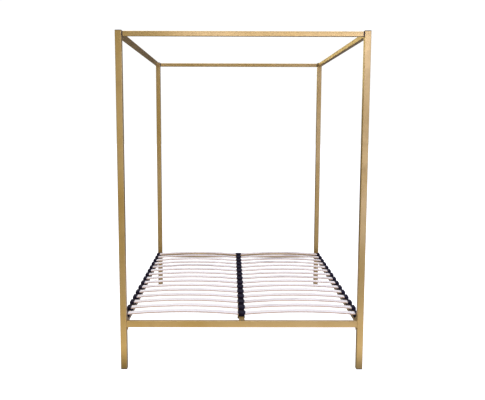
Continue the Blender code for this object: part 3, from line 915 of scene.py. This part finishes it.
def build_fasteners():
    """The bolt and screw heads that show at the posts, the plates, the tabs and the leg."""
    pan_up = pan_head("Z", 1)
    pan_down = pan_head("Z", -1)
    for side, sx in SIDES.items():
        socket = socket_head("X", sx)
        for end, sy in ENDS.items():
            place = (sx * (POST_X + POST_HALF), sy * POST_Y, RAIL_MIDDLE)
            put(f"post_bolt_{end}_{side}", socket, place, "rail_coat", BOLT_STEEL)
    for end, sy in ENDS.items():
        head = hex_head("Y", -sy)
        for side, sx in SIDES.items():
            for step, letter in ((-1, "a"), (1, "b")):
                x = sx * SIDE_PLATE_MIDDLE + step * SIDE_BOLT_SPACING / 2
                place = (x, sy * (SIDE_RAIL_END - PLATE), SIDE_BOLT_HEIGHT)
                put(f"side_bolt_{end}_{side}_{letter}", head, place, "rail_coat", BOLT_STEEL)
        place = (0, sy * POST_Y, CENTRE_RAIL_BOX[1].z)
        put(f"tab_screw_{end}", pan_up, place, "rail_coat", BOLT_STEEL)
        place = (0, sy * LEG_SCREW_SPACING / 2, LEG_BOX[1].z - PLATE)
        put(f"leg_screw_{end}", pan_down, place, "rail_coat", BOLT_STEEL)


def bead(path, closed, thickness, ripple):
    """A closed bmesh: a rippled weld bead along a path of points."""
    bm = bmesh.new()
    rows = []
    for i, point in enumerate(path):
        before = path[i - 1] if closed or i else path[0]
        after = path[(i + 1) % len(path)] if closed or i < len(path) - 1 else path[-1]
        turn = (after - before).normalized().to_track_quat("Z", "X").to_matrix()
        reach = thickness * (1 + ripple * math.sin(i * 2.1))
        row = []
        for x, y, _ in circle(reach, 0, BEAD_SIDES):
            row.append(bm.verts.new(point + turn @ Vector((x, y, 0))))
        rows.append(row)
    pairs = list(zip(rows, rows[1:]))
    if closed:
        pairs.append((rows[-1], rows[0]))
    for first, second in pairs:
        for k in range(BEAD_SIDES):
            j = (k + 1) % BEAD_SIDES
            bm.faces.new((first[k], first[j], second[j], second[k]))
    if not closed:
        bm.faces.new(list(reversed(rows[0])))
        bm.faces.new(rows[-1])
    bmesh.ops.recalc_face_normals(bm, faces=bm.faces)
    return bm


# Down one side of a rail, under it and up the other, in halves of its width and height
U_SHAPE = ((-1, 0.95), (-1, -0.94), (-0.92, -1), (0.92, -1), (1, -0.94), (1, 0.95))


def along(points):
    """Points at an even spacing along straight runs between these corners."""
    corners = [Vector(point) for point in points]
    path = []
    for start, end in zip(corners, corners[1:]):
        steps = max(1, round((end - start).length / BEAD_STEP))
        path += [start.lerp(end, i / steps) for i in range(steps)]
    path.append(corners[-1])
    return path


def put_bead(name, path, closed, thickness, ripple):
    mesh = mesh_of(name, bead(path, closed, thickness, ripple), BEAD_SMOOTH)
    put(name, mesh, (0, 0, 0), "rail_coat")


def build_welds():
    """Beads round the side rails at their plates, beside the hook tabs and round the leg."""
    half_width = RAIL_HALF + 0.0001
    half_height = RAIL_TOP - RAIL_MIDDLE - 0.0001
    rail_end = CENTRE_RAIL_BOX[1].y - HOOK_TAB_REACH
    tab_top = CENTRE_RAIL_BOX[1].z
    for end, sy in ENDS.items():
        for side, sx in SIDES.items():
            y = sy * (SIDE_RAIL_END - PLATE - 0.0006)
            corners = [
                (sx * (POST_X + dx * half_width), y, RAIL_MIDDLE + dz * half_height)
                for dx, dz in U_SHAPE
            ]
            put_bead(f"side_weld_{end}_{side}", along(corners), False, 0.0016, 0.16)
        for side, sx in SIDES.items():
            x = sx * (CENTRE_RAIL_BOX[1].x - TUBE_RADIUS)
            z = tab_top - 0.0012
            inner = sy * (rail_end - HOOK_TAB_OVERLAP + 0.002)
            outer = sy * (rail_end - 0.002)
            path = along([(x, inner, z), (x, outer, z)])
            put_bead(f"tab_weld_{end}_{side}", path, False, 0.0012, 0.18)
    path = [Vector(point) for point in circle(LEG_WELD_RADIUS, LEG_BOX[1].z - PLATE - 0.0005, 90)]
    put_bead("leg_weld", path, True, 0.0018, 0.15)


# --------------------------------------------------------- floor, light, camera
CAMERA_PLACE = (-0.0723, -4.8235, 1.5749)
CAMERA_PITCH = math.radians(6.527)
CAMERA_YAW = math.radians(0.209)
CAMERA_ROLL = math.radians(0.135)
CAMERA_LENS = 45.53
CAMERA_SENSOR = 36.0
CAMERA_SHIFT_X = 0.0194
CAMERA_SHIFT_Y = -0.0151

WHITE = rgb(1, 1, 1)
FLOOR_HALF = 40.0
FLOOR_Z = -0.0004
FLOOR_TONE = rgb(0.55, 0.55, 0.55)
FLOOR_GLOW = 0.85

# The studio's brightness by direction: to the camera, to the sides, behind the bed,
# in front of it to the left and right, above and below the front's middle, overhead
WORLD_SEEN = 1.05
WORLD_SIDE = 0.36
WORLD_BACK = 0.04
WORLD_FRONT_LEFT = 0.22
WORLD_FRONT_RIGHT = 0.72
WORLD_ABOVE = 0.20
WORLD_BELOW = 0.45
WORLD_TOP = 0.60
WORLD_LEFT_TINT = rgb(1.0, 0.95, 0.80)
WORLD_RIGHT_TINT = rgb(1.0, 1.05, 1.50)


def build_floor():
    bm = bmesh.new()
    bmesh.ops.create_grid(bm, x_segments=12, y_segments=12, size=FLOOR_HALF)
    mesh = mesh_of("studio_floor", bm)
    floor = bpy.data.objects.new("studio_floor", mesh)
    floor.location = (0, 0, FLOOR_Z)
    bpy.context.scene.collection.objects.link(floor)
    material, _, shader = new_tree("white_floor")
    shader.inputs["Base Color"].default_value = FLOOR_TONE
    shader.inputs["Roughness"].default_value = 0.9
    shader.inputs["Specular IOR Level"].default_value = 0.0
    shader.inputs["Emission Color"].default_value = WHITE
    shader.inputs["Emission Strength"].default_value = FLOOR_GLOW
    mesh.materials.append(material)
    floor.visible_glossy = False
    floor.visible_diffuse = False


def studio_level(tree, x, y, z):
    """How bright the studio is in a direction, as the bed's lighting."""
    behind = times(
        tree, remap(tree, y, 0.78, 0.94), remap(tree, z, 0.50, 0.36), remap(tree, z, -0.36, -0.24),
    )
    side = remap(tree, y, -0.60, -0.90, WORLD_SIDE, WORLD_SIDE / 2)
    around = plus(tree, side, times(tree, behind, WORLD_BACK - WORLD_SIDE))
    ahead = times(
        tree, remap(tree, y, -0.35, -0.95),
        remap(tree, x, -0.22, 0.22, WORLD_FRONT_LEFT, WORLD_FRONT_RIGHT),
        remap(tree, z, 0.0, 0.09, 1.0, WORLD_ABOVE), remap(tree, z, -0.05, -0.28, 1.0, WORLD_BELOW),
    )
    sky = remap(tree, z, 0.52, 0.85, 0.0, WORLD_TOP)
    return plus(tree, plus(tree, around, ahead), sky)


def build_world():
    """A white studio: plain white to the camera, softly graded as a light."""
    world = bpy.data.worlds.new("studio")
    world.use_nodes = True
    tree = world.node_tree
    background = tree.nodes["Background"]
    x, y, z = split(tree, add(tree, "ShaderNodeTexCoord").outputs["Generated"])
    seen = add(tree, "ShaderNodeLightPath").outputs["Is Camera Ray"]
    strength = tree.nodes.new("ShaderNodeMix")
    feed(tree, strength.inputs[0], seen)
    feed(tree, strength.inputs[2], studio_level(tree, x, y, z))
    feed(tree, strength.inputs[3], WORLD_SEEN)
    feed(tree, background.inputs["Strength"], strength.outputs[0])
    tint = blend(tree, remap(tree, x, -0.3, 0.3), WORLD_LEFT_TINT, WORLD_RIGHT_TINT)
    feed(tree, background.inputs["Color"], blend(tree, seen, tint, WHITE))
    bpy.context.scene.world = world


def softbox(name, place, target, size, power, colour=(1, 1, 1), spread=180):
    """A rectangular studio light that the camera doesn't see."""
    data = bpy.data.lights.new(name, "AREA")
    data.shape = "RECTANGLE"
    data.size, data.size_y = size
    data.energy = power
    data.color = colour
    data.spread = math.radians(spread)
    light = bpy.data.objects.new(name, data)
    light.location = place
    light.rotation_euler = (Vector(target) - Vector(place)).to_track_quat("-Z", "Y").to_euler()
    light.visible_camera = False
    bpy.context.scene.collection.objects.link(light)


def build_lights():
    softbox(
        "front_light", place=(0.24, -1.75, 2.16), target=(0.24, -1.0, 2.09),
        size=(1.5, 0.24), power=2.7, colour=(1.0, 1.04, 1.55),
    )
    softbox(
        "front_left_light", place=(-1.05, -3.0, 1.35), target=(-0.75, -1.0, 1.35),
        size=(1.2, 2.4), power=5.2, colour=(1.0, 0.97, 0.85),
    )
    softbox(
        "front_right_light", place=(1.25, -3.0, 1.5), target=(0.75, -1.0, 1.4),
        size=(1.2, 2.1), power=7.7, colour=(1.0, 1.08, 1.8),
    )
    softbox(
        "floor_light", place=(0.2, -1.6, 0.005), target=(0.2, -1.6, 1.0),
        size=(3.2, 0.8), power=8.6, colour=(1.0, 0.96, 0.95),
    )
    softbox(
        "top_light", place=(0.0, 0.0, 5.4), target=(0, 0, 0.3),
        size=(6.0, 6.0), power=168,
    )
    softbox(
        "back_left_light", place=(-3.0, 8.3, 3.3), target=(0.74, 0.0, 3.0),
        size=(4.6, 1.8), power=3.0, colour=(1.0, 0.90, 0.50), spread=28,
    )
    softbox(
        "right_light", place=(4.6, -1.0, 2.0), target=(0.4, -0.4, 1.0),
        size=(1.2, 3.0), power=16,
    )


def build_camera():
    """The camera at the photo's place, fitted to the straight edges of the posts and rails."""
    data = bpy.data.cameras.new("camera")
    data.sensor_width = CAMERA_SENSOR
    data.lens = CAMERA_LENS
    data.shift_x = CAMERA_SHIFT_X
    data.shift_y = CAMERA_SHIFT_Y
    camera = bpy.data.objects.new("camera", data)
    turn = Matrix.Rotation(-CAMERA_YAW, 4, "Z")
    turn = turn @ Matrix.Rotation(math.pi / 2 - CAMERA_PITCH, 4, "X")
    turn = turn @ Matrix.Rotation(CAMERA_ROLL, 4, "Z")
    camera.matrix_world = Matrix.Translation(CAMERA_PLACE) @ turn
    bpy.context.scene.collection.objects.link(camera)
    bpy.context.scene.camera = camera


def build_studio():
    build_floor()
    build_world()
    build_camera()
    build_lights()
    view = bpy.context.scene.view_settings
    view.view_transform = "Standard"
    view.look = "None"


build_studio()
dress_cad_nodes()
build_plastic_ends()
build_holders()
build_fasteners()
build_welds()
